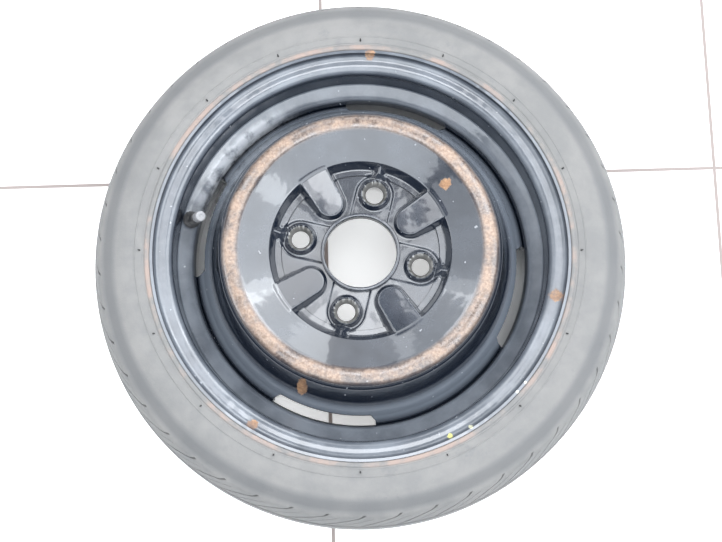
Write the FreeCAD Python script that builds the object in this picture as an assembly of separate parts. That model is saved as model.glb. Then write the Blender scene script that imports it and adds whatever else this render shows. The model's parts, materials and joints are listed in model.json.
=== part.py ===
import FreeCAD, Part
import math
import os
from FreeCAD import Rotation, Vector

# Compact spare wheel. Millimetres, +Z along the wheel axis towards the street side.
# The origin is on the wheel axis, in the face that bolts to the hub.

# Rim hoop, with heights measured from the rim's mid-plane
wheel_offset = 40.0
seat_diameter = 354.8
rim_width = 88.9
rim_sheet = 2.6
seat_taper = 5.0
flange_height = 17.0
flange_curl = 9.0
flange_tip = 1.0
heel_bend = 6.0
seat_width = 26.0
ledge_width = 14.0
ledge_lean = 25.0
well_drop = 2.5
well_top = 6.0
well_bottom = -18.0
well_bend = 8.0
back_seat_width = 21.0
sheet_bend = 4.5

# Wheel disc
disc_sheet = 3.5
crown_inset = 37.5
crown_height = 32.0
crown_bend = 14.0
inner_slope = 24.0
weld_flange_length = 14.0
weld_flange_inset = 1.0
foot_inset = 7.4
foot_rise = 8.0
foot_bend = 6.0
vent_span = 37.0
vent_depth = 8.5
vent_corner = 5.0
recess_margin = 11.8
recess_wall = 5.0
recess_bend = 3.6
step_height = 2.5
step_width = 5.5
facet_height = 1.5
channel_width = 36.0

# Raised tongues between the lugs, and the short gusset behind each lug
tongue_width = 25.0
tongue_flare = 4.0
tongue_gap = 4.6
tongue_slope = 10.0
tongue_draft = 24.0
tongue_turn = 45.0
gusset_width = 6.0
gusset_draft = 8.0
gusset_gap = 1.0

# Hub and lug seats
hub_bore = 67.1
collar_wall = 3.4
collar_height = 10.0
collar_lip = 2.0
lug_circle = 114.3
lug_count = 4
lug_angle = 76.8
lug_hole = 16.5
lug_seat = 24.6
lug_cone = 60.0
lug_rim = 0.4
lug_boss = 30.0
lug_boss_height = 6.0

# Welds and fits
weld_leg = 3.5
weld_margin = 5.0
fit_gap = 0.1
bead_gap = 0.3

# Tyre
section_height = 73.9
wall_overhang = 11.05
tread_width = 82.0
tread_flat = 32.0
tread_fall = 7.5
tread_bend = 60.0
tread_thickness = 13.0
wall_thickness = 8.0
bead_width = 19.0
bead_rim_bend = 2.0
wall_height = 48.6
wall_bend = 28.0
shoulder_bend = 12.0
groove_width = 6.0
groove_depth = 5.0
groove_place = 17.0
pitch_count = 46
slot_width = 4.0
slot_depth = 4.5
slot_length = 16.0
slot_slant = 30.0

# Valve, with heights measured along its own axis from the rim's ledge
valve_angle = 166.8
valve_hole = 11.5
valve_bulb = 16.4
valve_bulb_length = 9.0
valve_foot = 16.0
valve_lip = 2.8
valve_foot_length = 4.0
valve_neck = 11.4
valve_neck_height = 12.0
valve_top = 10.2
valve_length = 20.0
air_passage = 4.0
stem_diameter = 7.7
stem_height = 30.0
stem_root = 5.0
stem_bore = 4.6
stem_throat = 2.6
core_diameter = 4.4
core_length = 9.0
core_inset = 1.0
core_web = 1.5
core_chamber = 3.4
pin_diameter = 1.3
pin_hole = 1.9
pin_inset = 0.4
pin_collar = 2.6
pin_collar_length = 0.6
pin_foot = 3.4
pin_foot_length = 1.0
pin_travel = 1.5
seal_thickness = 1.2
seal_gap = 0.05
spring_diameter = 2.35
spring_wire = 0.4
spring_turns = 6
spring_sides = 8
thread_gap = 0.35
cap_diameter = 10.0
cap_length = 11.0
cap_roof = 2.0
axial_gap = 0.3

# Largest turn that one straight stretch of a bend may make
bend_step = 45.0

# Places that follow from the sizes above
mid_plane = -wheel_offset
seat_radius = seat_diameter / 2
rim_half = rim_width / 2
tyre_width = rim_width + 2 * wall_overhang
lip_radius = seat_radius + flange_height
seat_fall = math.tan(math.radians(seat_taper))
ledge_top = seat_radius - seat_width * seat_fall
well_skin = ledge_top - ledge_width - well_drop
well_radius = well_skin - rim_sheet
crown_radius = well_radius - crown_inset
floor_height = disc_sheet
facet_level = floor_height + facet_height
step_level = facet_level + step_height
lug_top = floor_height + lug_boss_height
lug_radius = lug_circle / 2
recess_radius = lug_radius + lug_boss / 2 + recess_margin
collar_radius = hub_bore / 2 + collar_wall
flange_radius = well_radius - fit_gap
flange_top = mid_plane + well_top - weld_flange_inset
flange_end = flange_top - weld_flange_length
tyre_radius = seat_radius + section_height
core_base = stem_height - core_inset - core_length
spring_seat = core_base + core_web


def around(shape, count, first):
    """Equal copies of the shape round the wheel axis, the first one turned by the given angle."""
    copies = []
    for index in range(count):
        turned_copy = shape.copy()
        turned_copy.rotate(Vector(0, 0, 0), Vector(0, 0, 1), first + 360.0 * index / count)
        copies.append(turned_copy)
    return copies


def bent(before, corner, after, bend):
    """Points along the bend of a corner, spaced so that no stretch turns by more than the bend step."""
    if bend == 0:
        return [corner]
    back = (before - corner).normalize()
    ahead = (after - corner).normalize()
    half_angle = back.getAngle(ahead) / 2
    centre = corner + (back + ahead).normalize() * (bend / math.sin(half_angle))
    spoke = corner + back * (bend / math.tan(half_angle)) - centre
    turn = 180 - math.degrees(2 * half_angle)
    stretches = math.ceil(turn / bend_step)
    points = []
    for index in range(stretches + 1):
        swing = Rotation(ahead.cross(back), turn * index / stretches)
        points.append(centre + swing.multVec(spoke))
    return points


def rounded_loop(corners):
    """Closed face in the XZ plane through (radius, height, bend) corners, each rounded to its bend."""
    places = [Vector(radius, 0, height) for radius, height, bend in corners]
    outline = []
    for index, corner in enumerate(places):
        after = places[(index + 1) % len(places)]
        outline += bent(places[index - 1], corner, after, corners[index][2])
    return Part.Face(Part.makePolygon(outline + outline[:1]))


def beside(corners, gap):
    """Corners of the path that runs at the given gap to the left of an open path, bends kept concentric."""
    points = [Vector(radius, 0, height) for radius, height, bend in corners]
    runs = [(after - before).normalize() for before, after in zip(points, points[1:])]
    runs = [runs[0]] + runs + [runs[-1]]
    lefts = [Vector(-run.z, 0, run.x) for run in runs]
    shifted = []
    for index, point in enumerate(points):
        before = lefts[index]
        after = lefts[index + 1]
        place = point + (before + after) * (gap / (1 + before.dot(after)))
        turn = runs[index].x * runs[index + 1].z - runs[index].z * runs[index + 1].x
        bend = corners[index][2]
        if bend > 0:
            bend -= gap * math.copysign(1, turn)
        shifted.append((place.x, place.z, bend))
    return shifted


def spun(face, degrees=360.0):
    """The solid that a face in the XZ plane sweeps round the Z axis."""
    return face.revolve(Vector(0, 0, 0), Vector(0, 0, 1), degrees)


def turning(steps):
    """Solid of revolution about Z through (height, radius) steps."""
    points = [Vector(radius, 0, height) for height, radius in steps]
    low = Vector(0, 0, points[0].z)
    high = Vector(0, 0, points[-1].z)
    return spun(Part.Face(Part.makePolygon([low] + points + [high, low])))


def bar(diameter, low, high):
    """Round bar on the Z axis between two heights."""
    return Part.makeCylinder(diameter / 2, high - low, Vector(0, 0, low))


def at_mid_plane(corners):
    """Corners given from the rim's mid-plane, moved to the wheel's own heights."""
    return [(radius, height + mid_plane, bend) for radius, height, bend in corners]


def rim_path():
    """Tyre side of the rim sheet, from the street-side lip to the back lip."""
    ledge_height = rim_half - seat_width
    ledge_fall = ledge_width * math.tan(math.radians(ledge_lean))
    back_top = seat_radius - back_seat_width * seat_fall
    lip_height = rim_half + flange_curl + flange_tip
    return at_mid_plane([
        (lip_radius, lip_height, 0),
        (lip_radius, rim_half, flange_curl),
        (seat_radius, rim_half, heel_bend),
        (ledge_top, ledge_height, sheet_bend),
        (ledge_top - ledge_width, ledge_height - ledge_fall, sheet_bend),
        (well_skin, well_top, sheet_bend),
        (well_skin, well_bottom, well_bend),
        (back_top, back_seat_width - rim_half, sheet_bend),
        (seat_radius, -rim_half, heel_bend),
        (lip_radius, -rim_half, flange_curl),
        (lip_radius, -lip_height, 0),
    ])


def on_ledge(shape):
    """The shape, moved from the valve's own frame to the middle of the rim's ledge, square to it."""
    path = beside(rim_path(), -rim_sheet)
    outer = path[3]
    inner = path[4]
    place = Vector((outer[0] + inner[0]) / 2, 0, (outer[1] + inner[1]) / 2)
    swing = Rotation(Vector(0, 0, 1), valve_angle)
    lean = Rotation(Vector(0, 1, 0), -ledge_lean)
    shape.Placement = FreeCAD.Placement(swing.multVec(place), swing.multiply(lean))
    return shape


def make_rim():
    """The rolled hoop, with the valve hole in its street-side ledge."""
    skin = rim_path()
    air_side = beside(skin, -rim_sheet)
    hoop = spun(rounded_loop(skin + air_side[::-1]))
    hole = bar(valve_hole, -3 * rim_sheet, 3 * rim_sheet)
    return hoop.cut(on_ledge(hole))


def crown_corner(foot):
    """Point above the crown's bend where the outer wall, drawn up from the foot, meets the inner slope."""
    slope = math.radians(inner_slope)
    centre = Vector(crown_radius, 0, crown_height - crown_bend)
    reach = foot - centre
    wall_turn = math.atan2(reach.z, reach.x) + math.acos(crown_bend / reach.Length)
    wall_out = Vector(math.cos(wall_turn), 0, math.sin(wall_turn))
    slope_out = Vector(-math.sin(slope), 0, math.cos(slope))
    return centre + (wall_out + slope_out) * (crown_bend / (1 + wall_out.dot(slope_out)))


def disc_path():
    """Street side of the disc, from the end of the welding flange over the crown to the recess edge."""
    foot = Vector(well_radius - foot_inset, 0, flange_top + foot_rise)
    corner = crown_corner(foot)
    edge_height = corner.z - (corner.x - recess_radius) * math.tan(math.radians(inner_slope))
    return [
        (flange_radius, flange_end, 0),
        (flange_radius, flange_top, foot_bend),
        (foot.x, foot.z, foot_bend),
        (corner.x, corner.z, crown_bend),
        (recess_radius, edge_height, recess_bend),
    ]


def ramp_path():
    """As the disc's path, but running on down the tongues towards the hub instead of into the recess."""
    path = disc_path()
    radius, height, bend = path[-1]
    tip_height = height - (radius - collar_radius) * math.tan(math.radians(tongue_slope))
    return path[:-1] + [(radius, height, 0), (collar_radius, tip_height, 0)]


def below(path):
    """Solid under a path that runs in towards the axis, down to the end of the welding flange."""
    return spun(rounded_loop([(0, flange_end, 0)] + path + [(0, path[-1][1], 0)]))


def tongue_plan(half_width, nose, height):
    """Plan of one tongue at a height: a round nose about a fixed centre, and sides that open outwards."""
    root = crown_radius - crown_bend
    open_half = half_width + tongue_flare / 2
    inner_left = Vector(nose, half_width, height)
    inner_right = Vector(nose, -half_width, height)
    outer_left = Vector(root, open_half, height)
    outer_right = Vector(root, -open_half, height)
    return Part.Wire([
        Part.Arc(inner_right, Vector(nose - half_width, 0, height), inner_left).toShape(),
        Part.makeLine(inner_left, outer_left),
        Part.makeLine(outer_left, outer_right),
        Part.makeLine(outer_right, inner_right),
    ])


def tongue_block(half_width, draft, tip):
    """Block with drafted sides that gives a tongue its plan; the width is met half-way up."""
    high = disc_path()[-1][1] + disc_sheet
    spread = high / 2 * math.tan(math.radians(draft))
    nose = tip + half_width
    foot = tongue_plan(half_width + spread, nose, 0)
    head = tongue_plan(half_width - spread, nose, high)
    return Part.makeLoft([foot, head], True, True)


def tongues(ramp, block, first):
    """The parts of the ramp that stand as tongues or gussets, one in each quarter."""
    return [ramp.common(copy) for copy in around(block, lug_count, first)]


def street_side():
    """Everything below the street side of the disc."""
    path = disc_path()
    wall_foot = recess_radius - recess_wall
    bowl = below(path + [
        (wall_foot, step_level, 0),
        (wall_foot - step_width, step_level, 0),
        (wall_foot - step_width, facet_level, 0),
    ])
    run = Part.makeBox(lug_radius, channel_width, crown_height, Vector(0, -channel_width / 2, floor_height))
    end = Part.makeCylinder(channel_width / 2, crown_height, Vector(lug_radius, 0, floor_height))
    bowl = bowl.cut(around(run.fuse(end), lug_count, lug_angle))
    ramp = below(ramp_path())
    tongue = tongue_block(tongue_width / 2, tongue_draft, collar_radius + tongue_gap)
    raised = tongues(ramp, tongue, lug_angle + tongue_turn)
    gusset = tongue_block(gusset_width / 2, gusset_draft, lug_radius + lug_boss / 2 + gusset_gap)
    raised += tongues(ramp, gusset, lug_angle)
    boss = Part.makeCone(lug_boss / 2, lug_seat / 2 + lug_rim, lug_boss_height, Vector(lug_radius, 0, floor_height))
    raised += around(boss, lug_count, lug_angle)
    collar = spun(rounded_loop([
        (0, 0, 0),
        (collar_radius, 0, 0),
        (collar_radius, collar_height, collar_lip),
        (0, collar_height, 0),
    ]))
    return bowl.fuse(raised + [collar])


def hub_side():
    """Everything below the hub side of the disc, which is flat where it meets the hub."""
    path = beside(disc_path(), disc_sheet)
    radius, height, bend = path[-1]
    wall_lean = recess_wall / (disc_path()[-1][1] - step_level)
    bowl = below(path + [(radius - wall_lean * height, 0, 0)])
    ramp = below(beside(ramp_path(), disc_sheet))
    tip = collar_radius + tongue_gap + disc_sheet
    hollow = tongue_block(tongue_width / 2 - disc_sheet, tongue_draft, tip)
    return bowl.fuse(tongues(ramp, hollow, lug_angle + tongue_turn))


def vent_cutter():
    """Cutter for one gap between the disc's edge and the rim, with rounded ends."""
    inner = well_radius - vent_depth
    outer = well_radius + rim_sheet
    low = flange_end - disc_sheet
    section = Part.makePolygon([
        Vector(inner, 0, low),
        Vector(outer, 0, low),
        Vector(outer, 0, 0),
        Vector(inner, 0, 0),
        Vector(inner, 0, low),
    ])
    sector = spun(Part.Face(section), vent_span)
    sector.rotate(Vector(0, 0, 0), Vector(0, 0, 1), -vent_span / 2)
    corners = []
    for edge in sector.Edges:
        ends = [vertex.Point for vertex in edge.Vertexes]
        upright = len(ends) == 2 and abs(ends[0].z - ends[1].z) > disc_sheet
        if upright and math.hypot(ends[0].x, ends[0].y) < well_radius:
            corners.append(edge)
    return sector.makeFillet(vent_corner, corners)


def make_disc():
    """The pressed disc, with its hub bore, lug seats and the gaps along its edge."""
    sheet = street_side().cut(hub_side())
    seat_depth = (lug_seat - lug_hole) / 2 / math.tan(math.radians(lug_cone / 2))
    seat = Part.makeCone(lug_hole / 2, lug_seat / 2, seat_depth, Vector(lug_radius, 0, lug_top - seat_depth))
    hole = Part.makeCylinder(lug_hole / 2, 2 * lug_top, Vector(lug_radius, 0, -lug_top))
    cutters = around(seat.fuse(hole), lug_count, lug_angle)
    cutters += around(vent_cutter(), lug_count, lug_angle)
    lip = collar_height - collar_lip
    mouth = hub_bore / 2 + collar_lip
    bore = turning([
        (-disc_sheet, hub_bore / 2),
        (lip + collar_lip / 2, hub_bore / 2),
        (collar_height, hub_bore / 2 + collar_lip / 2),
        (collar_height + collar_lip, mouth),
    ])
    return sheet.cut(cutters + [bore])


def make_welds():
    """Fillet welds along the end of the disc's flange, one on each stretch between the gaps."""
    section = Part.Face(Part.makePolygon([
        Vector(flange_radius, 0, flange_end),
        Vector(flange_radius - weld_leg, 0, flange_end),
        Vector(flange_radius, 0, flange_end - weld_leg),
        Vector(flange_radius, 0, flange_end),
    ]))
    span = 360.0 / lug_count - vent_span - 2 * weld_margin
    bead = spun(section, span)
    return Part.makeCompound(around(bead, lug_count, lug_angle + vent_span / 2 + weld_margin))


def tyre_section():
    """Section of the tyre: bead, sidewall and tread outside, then the liner back to the other bead."""
    half = tyre_width / 2
    tread_half = tread_width / 2
    face = rim_half - bead_gap
    toe = (seat_radius + bead_gap - bead_width * seat_fall, rim_half - bead_width, 0)
    wall_top = seat_radius + wall_height
    outside = [
        toe,
        (seat_radius + bead_gap, face, heel_bend + bead_gap),
        (lip_radius + bead_gap, face, flange_curl + bead_gap),
        (lip_radius + bead_gap, half, bead_rim_bend),
        (wall_top, half, wall_bend),
        (tyre_radius - tread_fall, tread_half, shoulder_bend),
        (tyre_radius, tread_flat / 2, tread_bend),
    ]
    liner_half = half - wall_thickness
    liner = [
        (tyre_radius - tread_thickness, tread_flat / 2, 0),
        (tyre_radius - tread_fall - tread_thickness, tread_half - wall_thickness, 0),
        (wall_top, liner_half, 0),
        (lip_radius + bead_gap + wall_thickness, liner_half, 0),
        (lip_radius + bead_gap - flange_curl / 2, face - wall_thickness, 0),
    ]
    outside_back = [(radius, -height, bend) for radius, height, bend in outside[::-1]]
    liner_back = [(radius, -height, bend) for radius, height, bend in liner[::-1]]
    return rounded_loop(at_mid_plane(outside + outside_back + liner_back + liner))


def tread_cutters():
    """Cutters for the tread: grooves round the middle and slanted slots across both shoulders."""
    tread_half = tread_width / 2
    groove_floor = tyre_radius - groove_depth
    cutters = []
    for place in (-groove_place, groove_place):
        low = mid_plane + place - groove_width / 2
        ring = Part.makeCylinder(tyre_radius + groove_depth, groove_width, Vector(0, 0, low))
        cutters.append(ring.cut(Part.makeCylinder(groove_floor, groove_width, Vector(0, 0, low))))
    fall_angle = math.degrees(math.atan2(tread_fall, tread_half - tread_flat / 2))
    slot_start = Vector(-slot_depth, -slot_width / 2, -slot_length)
    slot = Part.makeBox(2 * slot_depth, slot_width, slot_length + tread_half, slot_start)
    slot.rotate(Vector(0, 0, 0), Vector(1, 0, 0), slot_slant)
    slot.rotate(Vector(0, 0, 0), Vector(0, 1, 0), -fall_angle)
    slot.translate(Vector(tyre_radius - tread_fall, 0, tread_half))
    back = slot.copy()
    back.rotate(Vector(0, 0, 0), Vector(1, 0, 0), 180)
    for tool, shift in ((slot, 0.0), (back, 180.0 / pitch_count)):
        tool.translate(Vector(0, 0, mid_plane))
        cutters += around(tool, pitch_count, shift)
    return cutters


def make_tyre():
    """The tyre, one moulding with its tread cut in."""
    return spun(tyre_section()).cut(tread_cutters())


def make_valve_body():
    """Rubber snap-in body: bulb inside the rim, neck in its hole, foot and tapered stalk outside."""
    grip = valve_hole / 2 - fit_gap
    bulb_top = -rim_sheet - axial_gap
    bulb_low = bulb_top - valve_bulb_length
    body = turning([
        (bulb_low, valve_neck / 2),
        (bulb_top - valve_lip, valve_bulb / 2),
        (bulb_top, valve_bulb / 2 - valve_lip),
        (bulb_top, grip),
        (axial_gap, grip),
        (axial_gap, valve_foot / 2 - valve_lip),
        (axial_gap + valve_lip, valve_foot / 2),
        (valve_foot_length, valve_foot / 2),
        (valve_neck_height, valve_neck / 2),
        (valve_length, valve_top / 2),
    ])
    pocket = bar(stem_diameter + 2 * fit_gap, -stem_root - fit_gap, valve_length + axial_gap)
    passage = bar(air_passage, bulb_low, 0)
    return on_ledge(body.cut([pocket, passage]))


def make_valve_stem():
    """Brass tube with a chamber for the core and a narrower throat below it."""
    tube = bar(stem_diameter, -stem_root, stem_height)
    chamber_floor = core_base - seal_thickness - pin_foot_length - 2 * pin_travel
    chamber = bar(stem_bore, chamber_floor, stem_height)
    throat = bar(stem_throat, -stem_root, chamber_floor)
    return on_ledge(tube.cut([chamber, throat]))


def make_valve_core():
    """Brass barrel of the core, open above its web for the spring."""
    barrel = bar(core_diameter, core_base, core_base + core_length)
    chamber = bar(core_chamber, spring_seat, core_base + core_length)
    hole = bar(pin_hole, core_base, spring_seat)
    return on_ledge(barrel.cut([chamber, hole]))


def collar_base():
    """Height of the underside of the pin's collar, which the spring pushes on."""
    return core_base + core_length - 2 * pin_collar_length


def make_valve_pin():
    """Pin with the collar that the spring lifts and the foot that carries the seal."""
    foot_top = core_base - seal_gap - seal_thickness
    foot = bar(pin_foot, foot_top - pin_foot_length, foot_top)
    shank = bar(pin_diameter, foot_top, stem_height - pin_inset)
    collar = bar(pin_collar, collar_base(), collar_base() + pin_collar_length)
    return on_ledge(foot.fuse([shank, collar]))


def make_valve_seal():
    """Rubber washer between the pin's foot and the core's lower face."""
    top = core_base - seal_gap
    washer = bar(pin_foot, top - seal_thickness, top)
    hole = bar(pin_diameter + 2 * fit_gap, top - seal_thickness, top)
    return on_ledge(washer.cut(hole))


def make_valve_spring():
    """Coil spring round the pin, between the core's web and the pin's collar."""
    low = spring_seat + spring_wire / 2 + seal_gap
    rise = collar_base() - spring_wire / 2 - seal_gap - low
    section = Part.makePolygon([
        Vector(spring_diameter / 2 - spring_wire / 2, 0, 0),
        Vector(spring_diameter / 2, 0, -spring_wire / 2),
        Vector(spring_diameter / 2 + spring_wire / 2, 0, 0),
        Vector(spring_diameter / 2, 0, spring_wire / 2),
        Vector(spring_diameter / 2 - spring_wire / 2, 0, 0),
    ])
    stations = []
    for index in range(spring_turns * spring_sides + 1):
        station = section.copy()
        station.rotate(Vector(0, 0, 0), Vector(0, 0, 1), 360.0 * index / spring_sides)
        station.translate(Vector(0, 0, low + rise * index / (spring_turns * spring_sides)))
        stations.append(station)
    return on_ledge(Part.makeLoft(stations, True, True))


def make_valve_cap():
    """Dust cap over the stem's end."""
    roof = stem_height + axial_gap
    cap = bar(cap_diameter, roof + cap_roof - cap_length, roof + cap_roof)
    cap = cap.makeChamfer(cap_roof / 2, [cap.Edges[0]])
    hollow = bar(stem_diameter + 2 * thread_gap, roof + cap_roof - cap_length, roof)
    return on_ledge(cap.cut(hollow))


makers = {
    "tyre": make_tyre,
    "rim": make_rim,
    "wheel_disc": make_disc,
    "weld_beads": make_welds,
    "valve_body": make_valve_body,
    "valve_stem": make_valve_stem,
    "valve_core": make_valve_core,
    "valve_pin": make_valve_pin,
    "valve_seal": make_valve_seal,
    "valve_spring": make_valve_spring,
    "valve_cap": make_valve_cap,
}

os.makedirs("parts", exist_ok=True)
for node, make in makers.items():
    make().exportStep(os.path.join("parts", node + ".step"))
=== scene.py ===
import json
import logging
import math
from dataclasses import dataclass, field
from enum import Enum

import bpy
import numpy as np
from mathutils import Matrix, Vector


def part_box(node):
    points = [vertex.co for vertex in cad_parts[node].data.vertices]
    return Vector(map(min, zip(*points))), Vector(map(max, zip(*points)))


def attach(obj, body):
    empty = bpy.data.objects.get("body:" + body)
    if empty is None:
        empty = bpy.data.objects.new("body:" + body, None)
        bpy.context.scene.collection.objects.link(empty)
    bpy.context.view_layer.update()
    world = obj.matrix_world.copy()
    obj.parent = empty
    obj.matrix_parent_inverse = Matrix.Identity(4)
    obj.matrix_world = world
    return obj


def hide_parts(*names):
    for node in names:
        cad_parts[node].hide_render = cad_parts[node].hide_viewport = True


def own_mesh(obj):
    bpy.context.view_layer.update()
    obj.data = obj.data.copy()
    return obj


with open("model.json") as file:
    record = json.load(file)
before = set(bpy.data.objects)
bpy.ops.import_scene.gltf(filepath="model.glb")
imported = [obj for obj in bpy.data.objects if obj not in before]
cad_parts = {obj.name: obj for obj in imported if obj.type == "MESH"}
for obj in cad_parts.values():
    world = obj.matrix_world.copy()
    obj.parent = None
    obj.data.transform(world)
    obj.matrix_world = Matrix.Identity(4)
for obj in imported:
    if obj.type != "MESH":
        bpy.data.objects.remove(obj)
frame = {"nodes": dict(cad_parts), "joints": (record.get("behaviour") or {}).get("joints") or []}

log = logging.getLogger("spare_wheel")
MM = 0.001
CREASE = 40.0
CUT_CREASE = 62.0
FULL_TURN = 2 * math.pi

Corner = tuple[float, float, float]
Place = tuple[float, float, float]
Colour = tuple[float, float, float, float]
Faces = list[tuple[int, ...]]
Object = bpy.types.Object
Material = bpy.types.Material
Socket = bpy.types.NodeSocket
Tree = bpy.types.NodeTree

BLACK: Colour = (0.005, 0.008, 0.015, 1.0)
SMALL_DUST: Colour = (0.30, 0.29, 0.28, 1.0)
# Colour of chipped paint, and of the painted highlight with wear on the rim's ledge.
CHIP_AND_HIGHLIGHT_TONE: Colour = (0.30, 0.31, 0.33, 1.0)
SKIRT_TONE: Colour = (0.15, 0.17, 0.20, 1.0)
# Painted light on the side of the disc's wall that faces +Y, where light falls from behind.
WALL_LIGHT_TONE: Colour = (0.16, 0.18, 0.21, 1.0)
SEAT_TONE: Colour = (0.26, 0.255, 0.245, 1.0)
RUST_TONE: Colour = (0.35, 0.287, 0.240, 1.0)
SPOT_TONE: Colour = (0.36, 0.23, 0.13, 1.0)
RUBBER_DUST: Colour = (0.188, 0.183, 0.177, 1.0)
STAIN_TONE: Colour = (0.26, 0.19, 0.16, 1.0)
RUB_TONE: Colour = (0.09, 0.094, 0.10, 1.0)
SHADE_TONE: Colour = (0.062, 0.065, 0.072, 1.0)
WHITE_MARK: Colour = (0.44, 0.44, 0.40, 1.0)
TILE_TONES: tuple[Colour, Colour] = ((0.80, 0.80, 0.80, 1.0), (0.86, 0.86, 0.85, 1.0))
GROUT_TONE: Colour = (0.09, 0.062, 0.052, 1.0)


class Slot(Enum):
    """Material slots of the record, one named for each piece."""

    TYRE = "tyre_rubber"
    PAINT = "black_paint"
    STEEL = "spring_steel"
    CAP = "cap_plastic"


@dataclass(frozen=True)
class WheelSizes:
    """Driving sizes of the wheel, in millimetres, the first seven from the frame's boxes.

    Args:
        tyre_radius: Radius of the tread at its middle.
        tyre_half: Half of the tyre's width.
        mid: Height of the rim's mid-plane.
        lip_radius: Radius of the rim's lip.
        lip_half: Height of the lip above the mid-plane.
        crown_top: Height of the disc's crown.
        flange_end: Lowest height of the disc.
        lug_angle: Angle of the first lug hole, in degrees.
        flange_height: Height of the rim's flange above the bead seat.
        seat_drop: Fall of the bead seat from the flange to the ledge.
        well_drop: Fall of the well below the ledge's outer edge.
        lug_radius: Radius of the lug circle.
        bore_radius: Radius of the hub bore.
        sheet: Thickness of the disc.
        rim_sheet: Thickness of the rim.
        lug_count: Number of lug holes, tongues and vents.
    """

    tyre_radius: float
    tyre_half: float
    mid: float
    lip_radius: float
    lip_half: float
    crown_top: float
    flange_end: float
    lug_angle: float = 76.8
    flange_height: float = 17.0
    seat_drop: float = 2.3
    well_drop: float = 16.5
    lug_radius: float = 57.15
    bore_radius: float = 33.55
    sheet: float = 3.5
    rim_sheet: float = 2.6
    lug_count: int = 4

    @classmethod
    def from_frame(cls) -> "WheelSizes":
        """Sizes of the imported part.

        Returns:
            The sizes, in millimetres.
        """
        tyre_low, tyre_high = (Vector(v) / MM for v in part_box("tyre"))
        rim_high = Vector(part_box("rim")[1]) / MM
        disc_low, disc_high = (Vector(v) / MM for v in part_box("wheel_disc"))
        mid = (tyre_low.z + tyre_high.z) / 2
        return cls(
            tyre_radius=tyre_high.x,
            tyre_half=(tyre_high.z - tyre_low.z) / 2,
            mid=mid,
            lip_radius=rim_high.x,
            lip_half=rim_high.z - mid,
            crown_top=disc_high.z,
            flange_end=disc_low.z,
        )

    @property
    def seat_radius(self) -> float:
        """Radius of the bead seat at the flange."""
        return self.lip_radius - self.flange_height

    @property
    def ledge_top(self) -> float:
        """Radius of the tyre side of the ledge's outer edge."""
        return self.seat_radius - self.seat_drop

    @property
    def well_radius(self) -> float:
        """Radius of the well's air side."""
        return self.ledge_top - self.well_drop - self.rim_sheet

    def lug_turn(self, index: int) -> float:
        """Angle of one lug hole."""
        return self.lug_angle + 360.0 * index / self.lug_count


def metres(place: Place) -> Place:
    """A place in millimetres, turned to metres."""
    return tuple(value * MM for value in place)


def unit(vector: np.ndarray) -> np.ndarray:
    """The vector at a length of 1."""
    return vector / np.linalg.norm(vector)


def smooth_path(corners: list[Corner], run: float, turn: float) -> np.ndarray:
    """Points along an open path whose corners are rounded.

    Args:
        corners: Radius, height and bend of each corner.
        run: Longest straight step.
        turn: Largest turn of one step in a bend, in degrees.

    Returns:
        One row of radius and height for each point.
    """
    ends = [np.array(corner[:2]) for corner in corners]
    points = [ends[0]]
    for before, place, after, corner in zip(ends, ends[1:], ends[2:], corners[1:]):
        back, ahead = unit(before - place), unit(after - place)
        half = math.acos(float(np.clip(back @ ahead, -1, 1))) / 2
        swing = math.pi - 2 * half
        steps = max(2, math.ceil(math.degrees(swing) / turn))
        middle = unit(back + ahead)
        centre = place + middle * corner[2] / math.sin(half)
        side = unit(back - middle * (back @ middle))
        for angle in np.linspace(-swing / 2, swing / 2, steps + 1):
            points.append(centre - corner[2] * (middle * math.cos(angle) + side * math.sin(angle)))
    points.append(ends[-1])
    dense = [points[0]]
    for start, end in zip(points, points[1:]):
        count = max(1, math.ceil(float(np.linalg.norm(end - start)) / run))
        dense += [start + (end - start) * step / count for step in range(1, count + 1)]
    return np.array(dense)


def offset_path(path: np.ndarray, gap: float) -> np.ndarray:
    """The path moved sideways, to the left of its run.

    Args:
        path: Radius and height of each point.
        gap: How far it moves.

    Returns:
        The moved points.
    """
    run = np.gradient(path, axis=0)
    run /= np.linalg.norm(run, axis=1)[:, None]
    return path + gap * np.stack([-run[:, 1], run[:, 0]], axis=1)


def placed(offsets: tuple[Corner, ...], radius: float, height: float) -> list[Corner]:
    """Corners given by their distance from a radius and a height."""
    return [(radius + out, height + up, bend) for out, up, bend in offsets]


def revolve(radius: np.ndarray, height: np.ndarray, turn: np.ndarray) -> np.ndarray:
    """Vertices of a grid round the wheel axis, row by row."""
    grid = np.broadcast_arrays(radius * np.cos(turn), radius * np.sin(turn), height)
    return np.stack(grid, axis=2).reshape(-1, 3)


def grid_faces(rows: int, columns: int, wrap_rows: bool, wrap_columns: bool) -> Faces:
    """Quads of a grid whose vertices run column by column along each row.

    Args:
        rows: Number of rows.
        columns: Number of columns.
        wrap_rows: Whether the last row joins the first.
        wrap_columns: Whether the last column joins the first.

    Returns:
        Vertex numbers of each quad.
    """
    faces = []
    for row in range(rows if wrap_rows else rows - 1):
        here, ahead = row * columns, (row + 1) % rows * columns
        for column in range(columns if wrap_columns else columns - 1):
            after = (column + 1) % columns
            faces.append((here + column, here + after, ahead + after, ahead + column))
    return faces


def full_turn(columns: int) -> np.ndarray:
    """Angles of the columns of a closed ring, in radians."""
    return np.linspace(0, FULL_TURN, columns, endpoint=False)


def flipped(faces: Faces) -> Faces:
    """Faces that look the other way."""
    return [face[::-1] for face in faces]


def shifted(faces: Faces, start: int) -> Faces:
    """Faces whose vertex numbers begin later."""
    return [tuple(start + number for number in face) for face in faces]


def circle(middle: Place, radius: float, sides: int) -> list[Place]:
    """Corners of a level circle.

    Args:
        middle: Its middle.
        radius: Its radius.
        sides: Number of corners.

    Returns:
        Place of each corner.
    """
    x, y, z = middle
    turns = [FULL_TURN * side / sides for side in range(sides)]
    return [(x + radius * math.cos(turn), y + radius * math.sin(turn), z) for turn in turns]


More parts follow.
